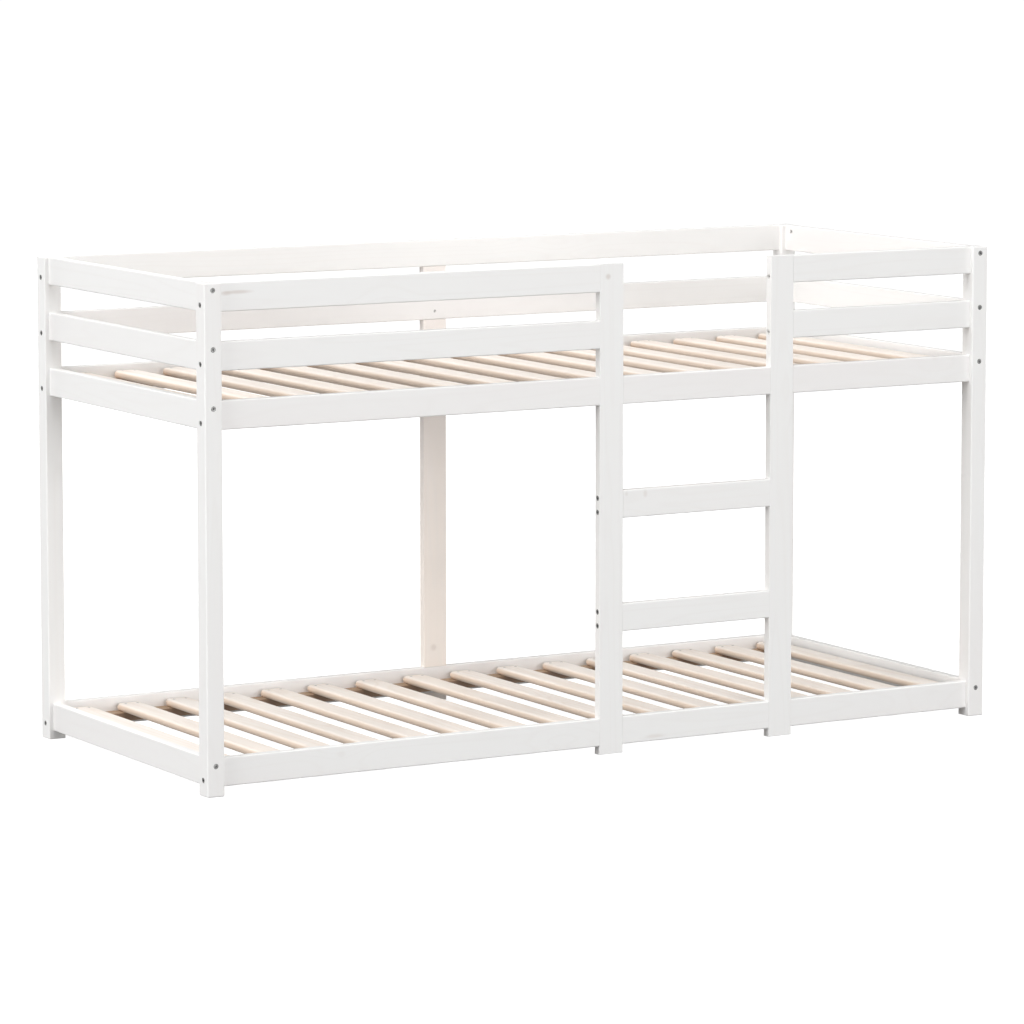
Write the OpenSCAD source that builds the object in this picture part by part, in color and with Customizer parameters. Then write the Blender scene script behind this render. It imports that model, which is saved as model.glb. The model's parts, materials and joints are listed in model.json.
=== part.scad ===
// Low bunk bed with a built-in ladder. Millimetres, +Z up.
// The origin is on the floor, at the centre of the footprint.
// +X runs along the bed, -Y is the side with the ladder.

/* [Frame] */
// Length of the bed over its corner posts
bed_length = 2060; // [1980:10:2160]
// Width of the bed over its corner posts
bed_width = 860; // [760:10:1060]
// Side of a square corner post
post_side = 42; // [42:1:60]
// Thickness of every rail, rung and upright board
board_thick = 20; // [18:1:24]
// Height of every rail and rung
rail_height = 64; // [60:2:72]
// Radius on the edges of posts and boards
edge_radius = 3; // [1:0.5:4]

/* [Heights] */
// Gap between the floor and the lowest rails
foot_gap = 20; // [10:5:60]
// Rise from one rung to the next
rung_step = 260; // [220:5:300]
// Rise from one guard rail to the next
guard_step = 128; // [100:4:160]

/* [Ladder] */
// Clear width between the two ladder stiles
ladder_gap = 397; // [340:1:420]
// Width of the ladder stiles and of the upright board at the back
upright_width = 62; // [50:1:80]
// Radius on the edges of the stiles, small so that their joints close tight
upright_radius = 1; // [0.5:0.5:3]

/* [Slats] */
// Width of a slat
slat_width = 60; // [45:1:70]
// Thickness of a slat
slat_thick = 18; // [18:1:20]
// Radius on the long edges of a slat
slat_radius = 8.5; // [2:0.5:8.5]
// Height of the slats' top above the bottom of the rails
slat_top = 50; // [46:1:56]
// Distance between the middles of neighbouring slats near the ends
outer_pitch = 125; // [120:1:128]
// Width of the ledger strips that carry the slats
ledger_width = 40; // [30:1:44]
// Height of the ledger strips
ledger_height = 20; // [18:1:24]

/* [Fasteners] */
// Diameter of the bolts
bolt_d = 6; // [5:0.5:8]
// Diameter of a bolt's head
head_d = 12; // [10:0.5:13]
// Diameter of a barrel nut
nut_d = 10; // [10:0.5:12]
// Distance from a rail's end to its barrel nut
nut_inset = 26; // [22:1:32]
// Diameter of the wooden dowels
dowel_d = 8; // [6:1:10]

/* [Hidden] */
$fn = 32;
overrun = 1;

// Main planes
half_length = bed_length / 2;
half_width = bed_width / 2;
post_x = half_length - post_side / 2;
post_y = half_width - post_side / 2;
inner_x = half_length - post_side;
inner_y = half_width - post_side;

// Bottom of each rail, guard and rung
lower_z = foot_gap;
rung_zs = [foot_gap + rung_step, foot_gap + 2 * rung_step];
upper_z = foot_gap + 3 * rung_step;
mid_guard_z = upper_z + guard_step;
top_guard_z = upper_z + 2 * guard_step;
rail_zs = [lower_z, upper_z, mid_guard_z, top_guard_z];
bed_zs = [lower_z, upper_z];
guard_zs = [mid_guard_z, top_guard_z];
bed_height = top_guard_z + rail_height;

// Fastener heights above the bottom of a rail
low_hole = rail_height / 4;
high_hole = rail_height * 3 / 4;
lap_screw_z = 20;

// Ladder
stile_1_x = 0;
stile_2_x = ladder_gap + upright_width;
stile_xs = [stile_1_x, stile_2_x];

// Bolts, nuts and dowels
hole_play = 0.4;
head_height = 4;
head_sink = 1;
socket_d = 5.8;
socket_depth = 2.5;
bolt_past_nut = 7;
corner_reach = post_side + nut_inset + bolt_past_nut;
stile_reach = upright_width + nut_inset + bolt_past_nut;
nut_length = 14;
nut_slot = 1.4;
dowel_half = 15;
dowel_play = 0.2;

// Wood screws
screw_d = 4;
screw_head_d = 7.6;
screw_head_height = 2.2;
screw_tip = 5;
screw_play = 0.2;
cross_length = 4;
cross_width = 1;
cross_depth = 1.2;
slat_screw_length = 35;
ledger_screw_length = 50;
lap_screw_length = 17;

// Slats
slats_per_bed = 16;
slats_per_group = 2;
groups = slats_per_bed / slats_per_group;
slat_end_gap = 38;
slat_length = 2 * inner_y;
slat_bottom = slat_top - slat_thick;
slat_screw_x = 15.5;
slat_screw_y = post_y - board_thick / 2 - 24;
outer_gaps = 5;
inner_gaps = slats_per_bed - 1 - 2 * outer_gaps;
first_slat_x = -inner_x + slat_end_gap;
inner_pitch = (-2 * first_slat_x - 2 * outer_gaps * outer_pitch) / inner_gaps;

// Ledgers
ledger_y = post_y - board_thick / 2 - ledger_width / 2;
ledger_screw_gaps = [0, 3, 6, 8, 11, 14];

// Middle of slat i, counted from 0 at the -X end
function slat_x(i) = first_slat_x
    + outer_pitch * min(i, outer_gaps)
    + inner_pitch * min(max(i - outer_gaps, 0), inner_gaps)
    + outer_pitch * max(i - outer_gaps - inner_gaps, 0);

// Turn about Z that points +X at the given side of the bed
function face_x(side) = side > 0 ? 0 : 180;
function face_y(side) = side > 0 ? 90 : -90;

// ---------- shapes ----------

module rounded_profile(w, h, r) {
    square([w - 2 * r, h], center = true);
    square([w, h - 2 * r], center = true);
    for (u = [-1, 1])
        for (v = [-1, 1])
            translate([u * (w / 2 - r), v * (h / 2 - r)])
                circle(r);
}

// Board along X from x1 to x2, standing on edge at height z
module board_x(x1, x2, y, z, w = board_thick, h = rail_height, r = edge_radius) {
    translate([x1, y, z + h / 2])
        rotate([90, 0, 90])
            linear_extrude(x2 - x1)
                rounded_profile(w, h, r);
}

// Board along Y from y1 to y2, standing on edge at height z
module board_y(y1, y2, x, z, w = board_thick, h = rail_height, r = edge_radius) {
    translate([x, y2, z + h / 2])
        rotate([90, 0, 0])
            linear_extrude(y2 - y1)
                rounded_profile(w, h, r);
}

// Upright from the floor to the top, rounded on every edge
module upright(x, y, w, d, r) {
    intersection() {
        translate([x, y, 0])
            linear_extrude(bed_height)
                rounded_profile(w, d, r);
        board_x(x - w / 2 - overrun, x + w / 2 + overrun, y, 0, d, bed_height, r);
        board_y(y - d / 2 - overrun, y + d / 2 + overrun, x, 0, w, bed_height, r);
    }
}

// Rod along +X
module rod(d, length) {
    rotate([0, 90, 0])
        cylinder(d = d, h = length);
}

// Bolt along +X, entering a face at x = 0
module bolt(reach) {
    difference() {
        union() {
            translate([head_sink, 0, 0])
                rod(head_d, head_height);
            translate([head_sink, 0, 0])
                rod(bolt_d, reach - head_sink);
        }
        translate([head_sink - overrun, 0, 0])
            rotate([0, 90, 0])
                cylinder(d = socket_d, h = socket_depth + overrun, $fn = 6);
    }
}

module bolt_hole(reach) {
    translate([-overrun, 0, 0])
        rod(bolt_d + hole_play, reach + overrun + 1);
    translate([-overrun, 0, 0])
        rod(head_d + hole_play, head_sink + head_height + overrun);
}

// Barrel nut along X with its slot at +X and its bolt along Y
module barrel_nut() {
    difference() {
        translate([-nut_length / 2, 0, 0])
            rod(nut_d, nut_length);
        translate([0, nut_d, 0])
            rotate([90, 0, 0])
                cylinder(d = bolt_d + hole_play, h = 2 * nut_d);
        translate([nut_length / 2, 0, 0])
            cube([2 * nut_slot, nut_slot, nut_d + overrun], center = true);
    }
}

// Pocket for a barrel nut, open on the board's +X face
module nut_pocket() {
    translate([-nut_length / 2 - hole_play, 0, 0])
        rod(nut_d + hole_play, nut_length / 2 + board_thick / 2 + hole_play + overrun);
}

// Dowel along X, half in each board
module dowel(play = 0) {
    translate([-dowel_half - play, 0, 0])
        rod(dowel_d + play, 2 * (dowel_half + play));
}

// Countersunk wood screw along +X, entering a face at x = 0
module screw(length) {
    difference() {
        rotate([0, 90, 0])
            union() {
                cylinder(d1 = screw_head_d, d2 = screw_d, h = screw_head_height);
                translate([0, 0, screw_head_height])
                    cylinder(d = screw_d, h = length - screw_head_height - screw_tip);
                translate([0, 0, length - screw_tip])
                    cylinder(d1 = screw_d, d2 = 1, h = screw_tip);
            }
        translate([-overrun, 0, 0])
            rotate([0, 90, 0])
                linear_extrude(cross_depth + overrun) {
                    square([cross_length, cross_width], center = true);
                    square([cross_width, cross_length], center = true);
                }
    }
}

module screw_hole(length) {
    rotate([0, 90, 0]) {
        translate([0, 0, -screw_play])
            cylinder(d1 = screw_head_d + 3 * screw_play, d2 = screw_d + 2 * screw_play,
                     h = screw_head_height + 2 * screw_play);
        cylinder(d = screw_d + screw_play, h = length + screw_play);
    }
}

// ---------- where the fasteners sit ----------
// Each module puts its children at every place and points +X along the fastener.

module at_long_rail_bolts() {
    for (sx = [-1, 1])
        for (sy = [-1, 1])
            for (z = rail_zs)
                translate([sx * half_length, sy * post_y, z + low_hole])
                    rotate([0, 0, face_x(-sx)])
                        children();
}

module at_end_rail_bolts() {
    for (sx = [-1, 1])
        for (sy = [-1, 1])
            for (z = rail_zs)
                translate([sx * post_x, sy * half_width, z + high_hole])
                    rotate([0, 0, face_y(-sy)])
                        children();
}

module at_guard_bolts() {
    for (z = guard_zs) {
        translate([stile_1_x + upright_width / 2, -post_y, z + low_hole])
            rotate([0, 0, face_x(-1)])
                children();
        translate([stile_2_x - upright_width / 2, -post_y, z + low_hole])
            children();
    }
}

module at_rung_bolts() {
    for (z = rung_zs)
        for (hole = [low_hole, high_hole]) {
            translate([stile_1_x - upright_width / 2, -post_y, z + hole])
                children();
            translate([stile_2_x + upright_width / 2, -post_y, z + hole])
                rotate([0, 0, face_x(-1)])
                    children();
        }
}

module at_long_rail_nuts() {
    for (sx = [-1, 1])
        for (sy = [-1, 1])
            for (z = rail_zs)
                translate([sx * (inner_x - nut_inset), sy * post_y, z + low_hole])
                    rotate([0, 0, face_y(1)])
                        children();
}

module at_end_rail_nuts() {
    for (sx = [-1, 1])
        for (sy = [-1, 1])
            for (z = rail_zs)
                translate([sx * post_x, sy * (inner_y - nut_inset), z + high_hole])
                    rotate([0, 0, face_x(-sx)])
                        children();
}

module at_guard_nuts() {
    for (z = guard_zs)
        for (x = [stile_1_x - upright_width / 2 - nut_inset,
                  stile_2_x + upright_width / 2 + nut_inset])
            translate([x, -post_y, z + low_hole])
                rotate([0, 0, face_y(1)])
                    children();
}

module at_rung_nuts() {
    for (z = rung_zs)
        for (hole = [low_hole, high_hole])
            for (x = [stile_1_x + upright_width / 2 + nut_inset,
                      stile_2_x - upright_width / 2 - nut_inset])
                translate([x, -post_y, z + hole])
                    rotate([0, 0, face_y(1)])
                        children();
}

module at_long_rail_dowels() {
    for (sx = [-1, 1])
        for (sy = [-1, 1])
            for (z = rail_zs)
                translate([sx * inner_x, sy * post_y, z + high_hole])
                    children();
}

module at_end_rail_dowels() {
    for (sx = [-1, 1])
        for (sy = [-1, 1])
            for (z = rail_zs)
                translate([sx * post_x, sy * inner_y, z + low_hole])
                    rotate([0, 0, 90])
                        children();
}

module at_guard_dowels() {
    for (z = guard_zs)
        for (x = [stile_1_x - upright_width / 2, stile_2_x + upright_width / 2])
            translate([x, -post_y, z + high_hole])
                children();
}

// The two screws at each end of slat i on the rails at height z
module at_slat_screws(i, z) {
    for (sx = [-1, 1])
        for (sy = [-1, 1])
            translate([slat_x(i) + sx * slat_screw_x, sy * slat_screw_y, z + slat_top])
                rotate([0, 90, 0])
                    children();
}

// The screws of the ledger on side sy of the rails at height z
module at_ledger_screws(sy, z) {
    for (i = ledger_screw_gaps)
        translate([(slat_x(i) + slat_x(i + 1)) / 2,
                   sy * (ledger_y - ledger_width / 2),
                   z + slat_bottom - ledger_height / 2])
            rotate([0, 0, face_y(sy)])
                children();
}

// The screws that hold the half-lapped crossings
module at_front_lap_screws() {
    for (x = stile_xs)
        for (z = bed_zs)
            translate([x, -post_y + board_thick / 2, z + lap_screw_z])
                rotate([0, 0, face_y(-1)])
                    children();
}

// The top crossing is screwed from the back, so that no screw shows over the bed
module at_back_lap_screws() {
    for (z = [lower_z, upper_z, mid_guard_z])
        translate([0, post_y - board_thick / 2, z + lap_screw_z])
            rotate([0, 0, face_y(1)])
                children();
    translate([0, post_y + board_thick / 2, top_guard_z + lap_screw_z])
        rotate([0, 0, face_y(-1)])
            children();
}

// ---------- uprights ----------

module post(sx, sy) {
    color("#ecebe6")
        difference() {
            upright(sx * post_x, sy * post_y, post_side, post_side, edge_radius);
            at_long_rail_bolts() bolt_hole(corner_reach);
            at_end_rail_bolts() bolt_hole(corner_reach);
            at_long_rail_dowels() dowel(dowel_play);
            at_end_rail_dowels() dowel(dowel_play);
        }
}

module ladder_stile(x) {
    color("#ecebe6")
        difference() {
            upright(x, -post_y, upright_width, board_thick, upright_radius);
            for (z = bed_zs)
                translate([x - upright_width, -post_y, z])
                    cube([2 * upright_width, board_thick, rail_height]);
            at_guard_bolts() bolt_hole(stile_reach);
            at_rung_bolts() bolt_hole(stile_reach);
            at_guard_dowels() dowel(dowel_play);
            at_front_lap_screws() screw_hole(lap_screw_length);
        }
}

module back_center_board() {
    color("#ecebe6")
        difference() {
            upright(0, post_y, upright_width, board_thick, upright_radius);
            for (z = rail_zs)
                translate([-upright_width, post_y - board_thick, z])
                    cube([2 * upright_width, board_thick, rail_height]);
            at_back_lap_screws() screw_hole(lap_screw_length);
        }
}

// ---------- rails and rungs ----------

// Rail along the front, cut back where the stiles cross it
module front_rail(z) {
    color("#ecebe6")
        difference() {
            board_x(-inner_x, inner_x, -post_y, z);
            for (x = stile_xs)
                translate([x - upright_width / 2, -post_y - board_thick, z - overrun])
                    cube([upright_width, board_thick, rail_height + 2 * overrun]);
            at_long_rail_bolts() bolt_hole(corner_reach);
            at_long_rail_nuts() nut_pocket();
            at_long_rail_dowels() dowel(dowel_play);
            at_front_lap_screws() screw_hole(lap_screw_length);
            at_ledger_screws(-1, z) screw_hole(ledger_screw_length);
        }
}

// Rail along the back, cut back where the upright board crosses it
module back_rail(z, has_ledger) {
    color("#ecebe6")
        difference() {
            board_x(-inner_x, inner_x, post_y, z);
            translate([-upright_width / 2, post_y, z - overrun])
                cube([upright_width, board_thick, rail_height + 2 * overrun]);
            at_long_rail_bolts() bolt_hole(corner_reach);
            at_long_rail_nuts() nut_pocket();
            at_long_rail_dowels() dowel(dowel_play);
            at_back_lap_screws() screw_hole(lap_screw_length);
            if (has_ledger)
                at_ledger_screws(1, z) screw_hole(ledger_screw_length);
        }
}

// Guard rail between a corner post and a ladder stile
module front_guard(x1, x2, z) {
    color("#ecebe6")
        difference() {
            board_x(x1, x2, -post_y, z);
            at_long_rail_bolts() bolt_hole(corner_reach);
            at_long_rail_nuts() nut_pocket();
            at_long_rail_dowels() dowel(dowel_play);
            at_guard_bolts() bolt_hole(stile_reach);
            at_guard_nuts() nut_pocket();
            at_guard_dowels() dowel(dowel_play);
        }
}

module left_guard(z) {
    front_guard(-inner_x, stile_1_x - upright_width / 2, z);
}

module right_guard(z) {
    front_guard(stile_2_x + upright_width / 2, inner_x, z);
}

module end_rail(sx, z) {
    color("#ecebe6")
        difference() {
            board_y(-inner_y, inner_y, sx * post_x, z);
            at_end_rail_bolts() bolt_hole(corner_reach);
            at_end_rail_nuts() nut_pocket();
            at_end_rail_dowels() dowel(dowel_play);
        }
}

module ladder_rung(z) {
    color("#ecebe6")
        difference() {
            board_x(stile_1_x + upright_width / 2, stile_2_x - upright_width / 2, -post_y, z);
            at_rung_bolts() bolt_hole(stile_reach);
            at_rung_nuts() nut_pocket();
        }
}

// ---------- mattress bases ----------

module ledger(sy, z) {
    color("#e3c79c")
        difference() {
            board_x(-inner_x, inner_x, sy * ledger_y, z + slat_bottom - ledger_height,
                    ledger_width, ledger_height, 1.5);
            at_ledger_screws(sy, z) screw_hole(ledger_screw_length);
            for (i = [0 : slats_per_bed - 1])
                at_slat_screws(i, z) screw_hole(slat_screw_length);
        }
}

// One group of neighbouring slats on the rails at height z
module slat_group(group, z) {
    first = (group - 1) * slats_per_group;
    color("#ead6b4")
        for (i = [first : first + slats_per_group - 1])
            difference() {
                board_y(-slat_length / 2, slat_length / 2, slat_x(i), z + slat_bottom,
                        slat_width, slat_thick, slat_radius);
                at_slat_screws(i, z) screw_hole(slat_screw_length);
            }
}

// ---------- fasteners ----------

module long_rail_bolts() {
    color("#5d5b58") at_long_rail_bolts() bolt(corner_reach);
}

module end_rail_bolts() {
    color("#5d5b58") at_end_rail_bolts() bolt(corner_reach);
}

module guard_bolts() {
    color("#5d5b58") at_guard_bolts() bolt(stile_reach);
}

module rung_bolts() {
    color("#5d5b58") at_rung_bolts() bolt(stile_reach);
}

module barrel_nuts() {
    color("#77746f") {
        at_long_rail_nuts() barrel_nut();
        at_end_rail_nuts() barrel_nut();
        at_guard_nuts() barrel_nut();
        at_rung_nuts() barrel_nut();
    }
}

module wooden_dowels() {
    color("#d9b98a") {
        at_long_rail_dowels() dowel();
        at_end_rail_dowels() dowel();
        at_guard_dowels() dowel();
    }
}

module slat_screws() {
    color("#8c8a86")
        for (z = bed_zs)
            for (i = [0 : slats_per_bed - 1])
                at_slat_screws(i, z) screw(slat_screw_length);
}

module ledger_screws() {
    color("#8c8a86")
        for (z = bed_zs)
            for (sy = [-1, 1])
                at_ledger_screws(sy, z) screw(ledger_screw_length);
}

module crossing_screws() {
    color("#8c8a86") {
        at_front_lap_screws() screw(lap_screw_length);
        at_back_lap_screws() screw(lap_screw_length);
    }
}

// ---------- assembly ----------

post(-1, -1);  // post_front_left
post(1, -1);  // post_front_right
post(-1, 1);  // post_back_left
post(1, 1);  // post_back_right
ladder_stile(stile_1_x);  // ladder_stile_left
ladder_stile(stile_2_x);  // ladder_stile_right
back_center_board();
ladder_rung(rung_zs[0]);  // ladder_rung_lower
ladder_rung(rung_zs[1]);  // ladder_rung_upper
front_rail(lower_z);  // front_lower_rail
front_rail(upper_z);  // front_upper_rail
left_guard(mid_guard_z);  // front_mid_guard_left
right_guard(mid_guard_z);  // front_mid_guard_right
left_guard(top_guard_z);  // front_top_guard_left
right_guard(top_guard_z);  // front_top_guard_right
back_rail(lower_z, true);  // back_lower_rail
back_rail(upper_z, true);  // back_upper_rail
back_rail(mid_guard_z, false);  // back_mid_guard
back_rail(top_guard_z, false);  // back_top_guard
end_rail(-1, lower_z);  // left_lower_rail
end_rail(-1, upper_z);  // left_upper_rail
end_rail(-1, mid_guard_z);  // left_mid_guard
end_rail(-1, top_guard_z);  // left_top_guard
end_rail(1, lower_z);  // right_lower_rail
end_rail(1, upper_z);  // right_upper_rail
end_rail(1, mid_guard_z);  // right_mid_guard
end_rail(1, top_guard_z);  // right_top_guard
ledger(-1, lower_z);  // ledger_lower_front
ledger(1, lower_z);  // ledger_lower_back
ledger(-1, upper_z);  // ledger_upper_front
ledger(1, upper_z);  // ledger_upper_back
for (i = [1 : groups]) {
    slat_group(i, lower_z);
    slat_group(i, upper_z);
}
long_rail_bolts();
end_rail_bolts();
guard_bolts();
rung_bolts();
barrel_nuts();
wooden_dowels();
slat_screws();
ledger_screws();
crossing_screws();
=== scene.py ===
"""Looks of the bunk bed with ladder: wood, steel, floor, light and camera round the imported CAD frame."""
import json
import math

import bpy
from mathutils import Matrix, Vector


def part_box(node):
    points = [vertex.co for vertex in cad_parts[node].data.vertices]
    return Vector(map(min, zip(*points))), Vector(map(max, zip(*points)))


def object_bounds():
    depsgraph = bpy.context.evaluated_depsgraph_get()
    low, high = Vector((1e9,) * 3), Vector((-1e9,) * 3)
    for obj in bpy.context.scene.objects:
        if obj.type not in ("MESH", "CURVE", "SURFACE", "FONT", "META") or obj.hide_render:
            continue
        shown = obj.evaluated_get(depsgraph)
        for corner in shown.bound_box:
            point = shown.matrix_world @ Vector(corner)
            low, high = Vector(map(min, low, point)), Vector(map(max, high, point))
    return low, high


def box_as_lists(bounds):
    return [[float(value) for value in corner] for corner in bounds]


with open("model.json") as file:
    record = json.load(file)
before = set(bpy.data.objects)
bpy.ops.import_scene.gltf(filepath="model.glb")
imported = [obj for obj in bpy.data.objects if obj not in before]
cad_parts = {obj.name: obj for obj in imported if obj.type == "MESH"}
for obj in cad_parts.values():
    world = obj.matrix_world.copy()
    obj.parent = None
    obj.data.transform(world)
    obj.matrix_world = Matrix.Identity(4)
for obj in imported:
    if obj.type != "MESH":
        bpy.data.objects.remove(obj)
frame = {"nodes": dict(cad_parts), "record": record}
NODES = frame["nodes"]
cad_box = box_as_lists(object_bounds())
LOW = Vector(cad_box[0])
HIGH = Vector(cad_box[1])
CENTER = (LOW + HIGH) / 2

# ---------- camera ----------
# A long lens left of the ladder side, a little above the bed and tilted down.
CAMERA_PLACE = Vector((-5.596, -9.604, 1.996))
CAMERA_HEADING = math.radians(30.152)
CAMERA_TILT = math.radians(6.403)
CAMERA_LENS = 168.4
CAMERA_SHIFT_Y = -0.10
SENSOR_WIDTH = 36.0
CLIP_END = 200.0

# ---------- colours, linear ----------
WHITE_STAIN = (0.84, 0.835, 0.825)
# For the back centre board: a warmer white, partly the board's own tone and partly painted warm light
# bounced off the slats.
WARM_STAIN_AND_BOUNCE = (0.87, 0.80, 0.74)
STAIN_GRAIN = (0.78, 0.755, 0.735)
STAIN_PINK = (0.82, 0.785, 0.775)
STAIN_KNOT = (0.55, 0.47, 0.42)
# In each pine, edge is the colour of faces that don't face up: mostly painted shade for the less light
# they get, partly the warmer tone of cut wood.
PINE = {
    "light": (0.85, 0.785, 0.725),
    "grain": (0.77, 0.665, 0.57),
    "warm": (0.83, 0.74, 0.66),
    "edge": (0.67, 0.53, 0.42),
    "knot": (0.42, 0.28, 0.18),
}
# The same pine painted paler for the lower deck's slats: painted light, making up for the shade the upper
# deck casts on them.
LOWER_DECK_LIT_PINE = {
    "light": (0.90, 0.84, 0.78),
    "grain": (0.82, 0.71, 0.61),
    "warm": (0.88, 0.79, 0.70),
    "edge": (0.69, 0.54, 0.42),
    "knot": (0.42, 0.28, 0.18),
}
# Ledgers and dowels: the pine painted dark brown, as painted shade for the deep shade under the slats.
SHADE_DARK_PINE = {
    "light": (0.42, 0.29, 0.19),
    "grain": (0.34, 0.22, 0.14),
    "warm": (0.38, 0.26, 0.16),
    "edge": (0.30, 0.19, 0.12),
    "knot": (0.24, 0.13, 0.07),
}

# Knots that show through the stain: node, x, z, half length, half height, strength.
# Each lies on the face of its board that looks towards the ladder side.
KNOTS = (
    ("front_top_guard_left", -0.942, 1.0975, 0.046, 0.0060, 0.50),
    ("front_top_guard_left", -0.972, 1.0960, 0.018, 0.0070, 0.45),
    ("ladder_stile_left", -0.010, 1.0910, 0.010, 0.0095, 0.45),
    ("ladder_rung_upper", 0.090, 0.5920, 0.008, 0.0120, 0.25),
    ("ladder_rung_upper", 0.040, 0.5950, 0.006, 0.0080, 0.20),
    ("front_lower_rail", 0.118, 0.0310, 0.036, 0.0070, 0.25),
    ("back_center_board", -0.005, 0.1310, 0.012, 0.0120, 0.40),
)
KNOT_DEPTH = 0.030

AXES = "XYZ"

# A Mix node has one set of sockets for each kind of data; these are the two kinds used.
MIX_COLOURS = (6, 7)
MIX_COLOUR_RESULT = 2
MIX_NUMBERS = (2, 3)
MIX_NUMBER_RESULT = 0


# ---------- node helpers ----------

class Tree:
    """A new material's node tree, with short calls for the nodes used here."""

    def __init__(self, name):
        self.material = bpy.data.materials.new(name)
        self.material.use_nodes = True
        self.nodes = self.material.node_tree.nodes
        self.links = self.material.node_tree.links
        self.shader = self.nodes["Principled BSDF"]

    def add(self, kind, **settings):
        node = self.nodes.new(kind)
        for key, value in settings.items():
            setattr(node, key, value)
        return node

    def link(self, source, target):
        self.links.new(source, target)

    def feed(self, value, target):
        if hasattr(value, "is_output"):
            self.link(value, target)
        else:
            target.default_value = value

    def math(self, operation, a, b=0.0, clamp=False):
        node = self.add("ShaderNodeMath", operation=operation, use_clamp=clamp)
        self.feed(a, node.inputs[0])
        self.feed(b, node.inputs[1])
        return node.outputs[0]

    def ramp(self, value, low, high):
        node = self.add("ShaderNodeMapRange", interpolation_type="SMOOTHSTEP")
        self.feed(value, node.inputs["Value"])
        node.inputs["From Min"].default_value = low
        node.inputs["From Max"].default_value = high
        return node.outputs["Result"]

    def mix(self, factor, a, b):
        node = self.add("ShaderNodeMix", data_type="RGBA")
        self.feed(factor, node.inputs["Factor"])
        for colour, socket in zip((a, b), MIX_COLOURS):
            value = colour if hasattr(colour, "is_output") else (*colour, 1)
            self.feed(value, node.inputs[socket])
        return node.outputs[MIX_COLOUR_RESULT]

    def object_place(self):
        return self.add("ShaderNodeTexCoord").outputs["Object"]

    def side_shade_mask(self):
        """1 on faces that don't face up, and 0 on those that do: where the pine gets its painted side
        shade.
        """
        facing = self.add("ShaderNodeSeparateXYZ")
        self.link(self.add("ShaderNodeTexCoord").outputs["Normal"], facing.inputs[0])
        upward = self.ramp(facing.outputs["Z"], low=0.35, high=0.95)
        return self.math("SUBTRACT", 1.0, upward, clamp=True)

    def spot(self, place, middle, reach):
        """1 in the middle of an oval mark, and 0 from its edge outwards."""
        scale = tuple(1 / half for half in reach)
        offset = tuple(-value / half for value, half in zip(middle, reach))
        length = self.add("ShaderNodeVectorMath", operation="LENGTH")
        self.link(self.mapped(place, scale, offset), length.inputs[0])
        edge = self.ramp(length.outputs["Value"], low=0.2, high=1.0)
        return self.math("SUBTRACT", 1.0, edge, clamp=True)

    def mapped(self, place, scale, offset=(0, 0, 0)):
        node = self.add("ShaderNodeMapping")
        self.link(place, node.inputs["Vector"])
        node.inputs["Scale"].default_value = scale
        node.inputs["Location"].default_value = offset
        return node.outputs["Vector"]

    def noise(self, place, scale, detail=3.0, roughness=0.5):
        node = self.add("ShaderNodeTexNoise")
        self.link(place, node.inputs["Vector"])
        node.inputs["Scale"].default_value = scale
        node.inputs["Detail"].default_value = detail
        node.inputs["Roughness"].default_value = roughness
        return node.outputs["Fac"]

    def bump(self, height, strength, distance, normal=None):
        node = self.add("ShaderNodeBump")
        self.link(height, node.inputs["Height"])
        node.inputs["Strength"].default_value = strength
        node.inputs["Distance"].default_value = distance
        if normal is not None:
            self.link(normal, node.inputs["Normal"])
        return node.outputs["Normal"]


# ---------- wood ----------
# Fineness of each part of the grain, per metre: along the board, and across it.
RING_SCALE = (0.9, 14.0)
KNOT_SCALE = (3.0, 5.0)
PORE_SCALE = (9.0, 700.0)
TONE_SCALE = (0.7, 3.0)
# Step from one board's place in the grain to the next board's.
SEED_STEP = (3.7, -2.3, 5.1)
RING_COUNT = 9.0
RING_SHARPNESS = 1.7
# Knots, in sizes of their cells: where a knot fades out, and how far and how much rings bend round it.
KNOT_EDGE = (0.025, 0.055)
KNOT_BEND_REACH = 0.35
KNOT_BEND = 1.6

# How strongly each part of the grain, and the painted shade on the sides (edge), shows, from 0 to 1.
STAIN_SHOWS = {"rings": 0.16, "tone": 0.55, "pores": 0.18, "knots": 0.10}
PINE_SHOWS = {"rings": 0.42, "tone": 0.45, "pores": 0.22, "edge": 0.85, "knots": 0.75}
LACQUER_ROUGHNESS = (0.42, 0.58)
DRY_ROUGHNESS = 0.62


def along(axis, lengthwise, across):
    """A scale of `lengthwise` on the grain's axis and `across` on the other two."""
    return tuple(lengthwise if name == axis else across for name in AXES)


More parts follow.
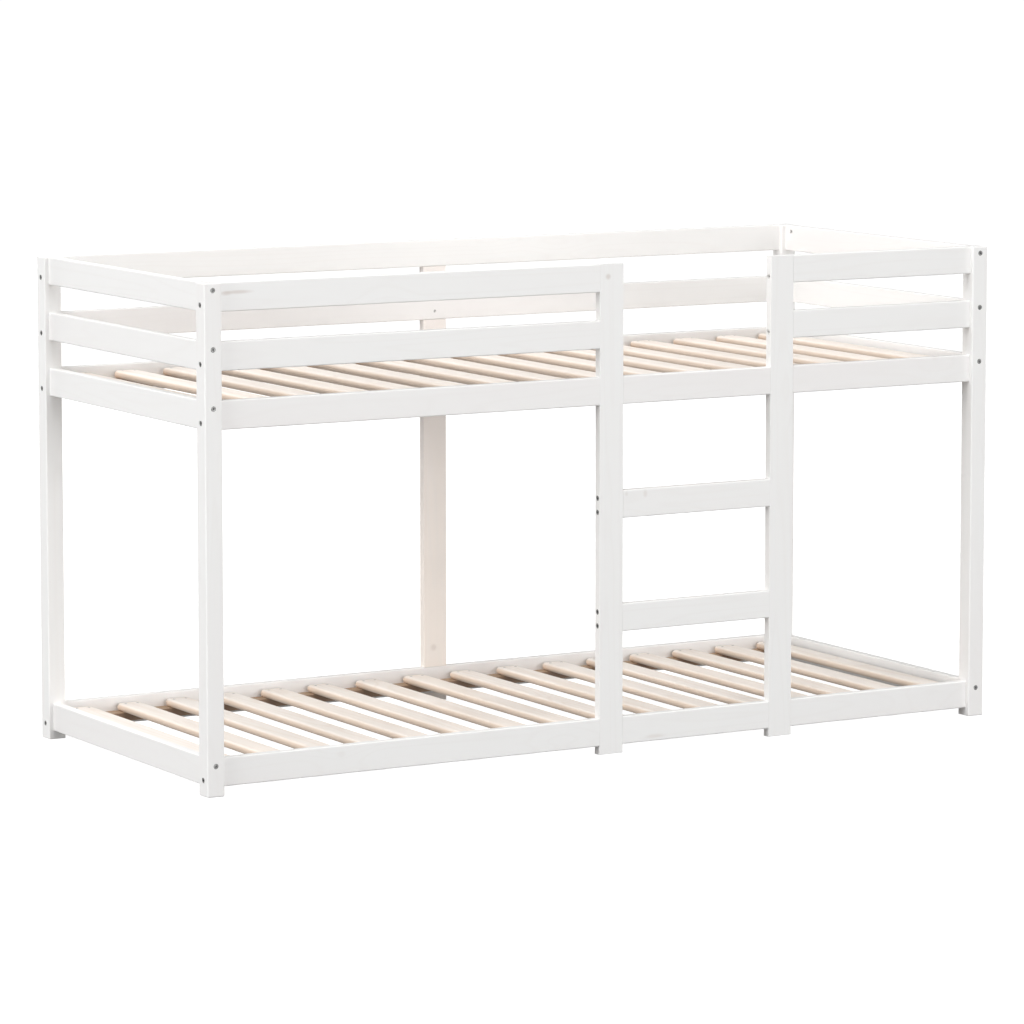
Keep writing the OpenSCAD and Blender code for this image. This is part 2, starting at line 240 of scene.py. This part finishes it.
def grain(tree, axis, seed):
    """Growth rings and pores of a board sawn along `axis`. Returns (rings, pores, knots, tone)."""
    offset = tuple(step * seed for step in SEED_STEP)
    place = tree.object_place()
    # Rings: long wavy bands that pass closely across the board.
    waves = tree.mapped(place, along(axis, *RING_SCALE), offset)
    bands = tree.noise(waves, 1.0, detail=1.5, roughness=0.45)
    # Knots: sparse cells, a little long in the grain's direction; the bands bend round them.
    cells = tree.add("ShaderNodeTexVoronoi", feature="F1")
    tree.link(tree.mapped(place, along(axis, *KNOT_SCALE), offset), cells.inputs["Vector"])
    cells.inputs["Scale"].default_value = 1.0
    cells.inputs["Randomness"].default_value = 1.0
    distance = cells.outputs["Distance"]
    knots = tree.math("SUBTRACT", 1.0, tree.ramp(distance, *KNOT_EDGE), clamp=True)
    swirl = tree.math("SUBTRACT", 1.0, tree.ramp(distance, low=0.0, high=KNOT_BEND_REACH), clamp=True)
    straight = tree.math("MULTIPLY", bands, RING_COUNT)
    phase = tree.math("ADD", straight, tree.math("MULTIPLY", swirl, KNOT_BEND))
    # A wave from 0 to 1 and back for every ring.
    rings = tree.math("PINGPONG", phase, 0.5)
    rings = tree.math("MULTIPLY", rings, 2.0)
    rings = tree.math("POWER", rings, RING_SHARPNESS)
    # Pores: fine streaks.
    streaks = tree.mapped(place, along(axis, *PORE_SCALE), offset)
    pores = tree.noise(streaks, 1.0, detail=3.0, roughness=0.6)
    patches = tree.mapped(place, along(axis, *TONE_SCALE), offset)
    tone = tree.noise(patches, 1.0, detail=1.0)
    return rings, pores, knots, tone


def stained_wood(name, axis, seed, base, marks):
    """White-stained pine under a satin lacquer: the grain only just shows."""
    tree = Tree(name)
    rings, pores, knots, tone = grain(tree, axis, seed)
    faint = tree.math("MULTIPLY", tree.ramp(rings, low=0.35, high=1.0), STAIN_SHOWS["rings"])
    colour = tree.mix(faint, base, STAIN_GRAIN)
    pink = tree.math("MULTIPLY", tree.ramp(tone, low=0.45, high=0.75), STAIN_SHOWS["tone"])
    colour = tree.mix(pink, colour, STAIN_PINK)
    streaks = tree.math("MULTIPLY", tree.ramp(pores, low=0.55, high=0.85), STAIN_SHOWS["pores"])
    colour = tree.mix(streaks, colour, STAIN_GRAIN)
    colour = tree.mix(tree.math("MULTIPLY", knots, STAIN_SHOWS["knots"]), colour, STAIN_KNOT)
    for middle, reach, strength in marks:
        mark = tree.spot(tree.object_place(), middle, reach)
        colour = tree.mix(tree.math("MULTIPLY", mark, strength), colour, STAIN_KNOT)
    tree.link(colour, tree.shader.inputs["Base Color"])
    roughness = tree.add("ShaderNodeMapRange")
    tree.link(pores, roughness.inputs["Value"])
    roughness.inputs["To Min"].default_value = LACQUER_ROUGHNESS[0]
    roughness.inputs["To Max"].default_value = LACQUER_ROUGHNESS[1]
    tree.link(roughness.outputs["Result"], tree.shader.inputs["Roughness"])
    normal = tree.bump(pores, strength=0.12, distance=0.0004)
    normal = tree.bump(rings, strength=0.10, distance=0.0004, normal=normal)
    tree.link(normal, tree.shader.inputs["Normal"])
    return tree.material


def bare_pine(name, axis, seed, wood):
    """Planed, unfinished pine: warm bands of late wood, a few knots, a dry surface."""
    tree = Tree(name)
    rings, pores, knots, tone = grain(tree, axis, seed)
    late = tree.math("MULTIPLY", tree.ramp(rings, low=0.25, high=1.0), PINE_SHOWS["rings"])
    colour = tree.mix(late, wood["light"], wood["grain"])
    warmth = tree.math("MULTIPLY", tree.ramp(tone, low=0.40, high=0.75), PINE_SHOWS["tone"])
    colour = tree.mix(warmth, colour, wood["warm"])
    streaks = tree.math("MULTIPLY", tree.ramp(pores, low=0.55, high=0.9), PINE_SHOWS["pores"])
    colour = tree.mix(streaks, colour, wood["grain"])
    # Painted shade: sides, ends and undersides take the darker, browner edge colour.
    sides = tree.math("MULTIPLY", tree.side_shade_mask(), PINE_SHOWS["edge"])
    colour = tree.mix(sides, colour, wood["edge"])
    colour = tree.mix(tree.math("MULTIPLY", knots, PINE_SHOWS["knots"]), colour, wood["knot"])
    tree.link(colour, tree.shader.inputs["Base Color"])
    tree.shader.inputs["Roughness"].default_value = DRY_ROUGHNESS
    normal = tree.bump(pores, strength=0.22, distance=0.0005)
    normal = tree.bump(rings, strength=0.15, distance=0.0004, normal=normal)
    tree.link(normal, tree.shader.inputs["Normal"])
    return tree.material


# ---------- steel ----------
DARK_ZINC = (0.27, 0.27, 0.265)
BRIGHT_ZINC = (0.74, 0.73, 0.71)
PALE_ZINC = (0.88, 0.87, 0.84)
SOCKET_REACH = 0.003
SPECKLE_SCALE = 400
SPECKLE_DARKNESS = 0.45
# How dark the painted shade in sockets and recesses is, against the steel's own colour.
SOCKET_SHADE_DARKNESS = 0.15


def plated_steel(name, colour, roughness, metallic=1.0):
    """Plated fastener steel: fine speckle, and painted shade that darkens its sockets and recesses."""
    tree = Tree(name)
    place = tree.object_place()
    speckle = tree.noise(tree.mapped(place, (SPECKLE_SCALE,) * 3), 1.0, detail=3.0)
    darker = tuple(channel * SPECKLE_DARKNESS for channel in colour)
    plated = tree.mix(tree.ramp(speckle, low=0.35, high=0.65), colour, darker)
    # Painted shade: ambient occlusion darkens the colour in sockets and recesses, where shade falls.
    openness = tree.add("ShaderNodeAmbientOcclusion", samples=8, only_local=True)
    openness.inputs["Distance"].default_value = SOCKET_REACH
    unshaded = tree.ramp(openness.outputs["AO"], low=0.30, high=0.80)
    socket_shade = tuple(channel * SOCKET_SHADE_DARKNESS for channel in colour)
    tree.link(tree.mix(unshaded, socket_shade, plated), tree.shader.inputs["Base Color"])
    tree.shader.inputs["Metallic"].default_value = metallic
    tree.shader.inputs["Roughness"].default_value = roughness
    tree.link(tree.bump(speckle, strength=0.2, distance=0.0001), tree.shader.inputs["Normal"])
    return tree.material


def dress(node, material):
    """Gives a CAD node one material all over."""
    slots = NODES[node].data.materials
    slots.clear()
    slots.append(material)


def long_axis(node):
    """Letter of the axis along which a node is longest."""
    low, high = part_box(node)
    sides = high - low
    return AXES[max(range(3), key=lambda i: sides[i])]


def knots_on(node):
    """The placed knots of a board, as (middle, reach, strength)."""
    face_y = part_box(node)[0].y
    return [
        ((x, face_y, z), (half_length, KNOT_DEPTH, half_height), strength)
        for board, x, z, half_length, half_height, strength in KNOTS
        if board == node
    ]


WHITE_SLOT = "white_wood"
SLAT_SLOT = "slat_wood"
LEDGER_SLOT = "ledger_wood"
DOWEL_SLOT = "dowel_wood"
slot_of = {part["node"]: part["material_slot"] for part in frame["record"]["subparts"]}

steels = {
    "bolt_steel": plated_steel("zinc_bolt", DARK_ZINC, roughness=0.42),
    "nut_steel": plated_steel("zinc_nut", BRIGHT_ZINC, roughness=0.45, metallic=0.3),
    "screw_steel": plated_steel("zinc_screw", BRIGHT_ZINC, roughness=0.40, metallic=0.4),
}
pale_steel = plated_steel("pale_bolt", PALE_ZINC, roughness=0.45, metallic=0.1)

for seed, node in enumerate(sorted(NODES)):
    kind = slot_of[node]
    if kind == WHITE_SLOT:
        # The back centre board gets the warmer white: partly its own tone, partly painted warm bounce
        # light from the slats.
        base = WARM_STAIN_AND_BOUNCE if node == "back_center_board" else WHITE_STAIN
        dress(node, stained_wood("stained_" + node, long_axis(node), seed, base, knots_on(node)))
    elif kind == SLAT_SLOT:
        # Lower-deck slats get the paler copy, as painted light against the upper deck's shade.
        wood = LOWER_DECK_LIT_PINE if node.startswith("lower") else PINE
        dress(node, bare_pine("pine_" + node, "Y", seed, wood))
    elif kind in (LEDGER_SLOT, DOWEL_SLOT):
        # Ledgers and dowels take the pine painted dark brown as shade.
        dress(node, bare_pine("pine_" + node, "X", seed, SHADE_DARK_PINE))
    elif node == "guard_bolts":
        dress(node, pale_steel)
    else:
        dress(node, steels[kind])

# ---------- floor ----------

FLOOR_HALF = 30.0
FLOOR_GREY = 0.35
FLOOR_GLOW = 0.95


def studio_floor():
    """A plain floor that glows almost white by itself, and doesn't light the bed."""
    bpy.ops.mesh.primitive_plane_add(size=2 * FLOOR_HALF, location=(0, 0, LOW.z))
    floor = bpy.context.object
    floor.name = "studio_floor"
    tree = Tree("studio_floor")
    tree.shader.inputs["Base Color"].default_value = (FLOOR_GREY, FLOOR_GREY, FLOOR_GREY, 1)
    tree.shader.inputs["Roughness"].default_value = 1.0
    tree.shader.inputs["Specular IOR Level"].default_value = 0.0
    tree.shader.inputs["Emission Color"].default_value = (1, 1, 1, 1)
    tree.shader.inputs["Emission Strength"].default_value = FLOOR_GLOW
    floor.data.materials.append(tree.material)
    floor.visible_diffuse = False
    return floor


studio_floor()

# ---------- light ----------
# Brightness is in units of a white sky: 1 lights a white face to full white.
SKY_ABOVE = 0.40
SKY_BELOW = 0.10
HORIZON_LOW = -0.05
HORIZON_HIGH = 0.25
BACKDROP = 1.05

# Lamps: name, place, size, brightness.
SOFTBOXES = (
    ("overhead", (-2.8, -1.4, 10.0), (5.2, 4.6), 0.60),
    ("front_low", (2.0, -13.0, 2.0), (10.0, 5.0), 0.55),
    ("front_high", (1.5, -10.0, 7.5), (8.0, 6.0), 0.09),
    ("left", (-12.5, -1.5, 3.6), (7.0, 5.0), 0.60),
    ("right", (7.0, 0.0, 1.2), (4.0, 3.0), 0.35),
    ("back", (0.0, 7.0, 1.2), (5.0, 3.0), 0.40),
)


def softbox(name, place, size, brightness):
    """A rectangular lamp aimed at the bed, whose power gives `brightness` at the bed's middle."""
    reach = CENTER - Vector(place)
    light = bpy.data.lights.new(name, "AREA")
    light.shape = "RECTANGLE"
    light.size, light.size_y = size
    light.energy = brightness * math.pi ** 2 * reach.length_squared
    lamp = bpy.data.objects.new(name, light)
    lamp.location = place
    lamp.rotation_euler = reach.to_track_quat("-Z", "Y").to_euler()
    lamp.visible_camera = False
    bpy.context.scene.collection.objects.link(lamp)


def studio_sky():
    """Bright above, dim below, and plain white to the camera."""
    world = bpy.data.worlds.new("studio")
    world.use_nodes = True
    nodes = world.node_tree.nodes
    link = world.node_tree.links.new
    height = nodes.new("ShaderNodeSeparateXYZ")
    link(nodes.new("ShaderNodeTexCoord").outputs["Generated"], height.inputs[0])
    slope = nodes.new("ShaderNodeMapRange")
    link(height.outputs["Z"], slope.inputs["Value"])
    slope.inputs["From Min"].default_value = HORIZON_LOW
    slope.inputs["From Max"].default_value = HORIZON_HIGH
    slope.inputs["To Min"].default_value = SKY_BELOW
    slope.inputs["To Max"].default_value = SKY_ABOVE
    seen = nodes.new("ShaderNodeMix")
    link(nodes.new("ShaderNodeLightPath").outputs["Is Camera Ray"], seen.inputs["Factor"])
    to_bed, to_camera = MIX_NUMBERS
    link(slope.outputs["Result"], seen.inputs[to_bed])
    seen.inputs[to_camera].default_value = BACKDROP
    link(seen.outputs[MIX_NUMBER_RESULT], nodes["Background"].inputs["Strength"])
    nodes["Background"].inputs["Color"].default_value = (1, 1, 1, 1)
    bpy.context.scene.world = world


studio_sky()
for name, place, size, brightness in SOFTBOXES:
    softbox(name, place, size, brightness)
bpy.context.scene.view_settings.view_transform = "Standard"

# ---------- camera ----------
camera_data = bpy.data.cameras.new("camera")
camera_data.sensor_width = SENSOR_WIDTH
camera_data.lens = CAMERA_LENS
camera_data.shift_y = CAMERA_SHIFT_Y
camera_data.clip_end = CLIP_END
camera = bpy.data.objects.new("camera", camera_data)
camera.location = CAMERA_PLACE
camera.rotation_euler = (math.pi / 2 - CAMERA_TILT, 0.0, -CAMERA_HEADING)
bpy.context.scene.collection.objects.link(camera)
bpy.context.scene.camera = camera
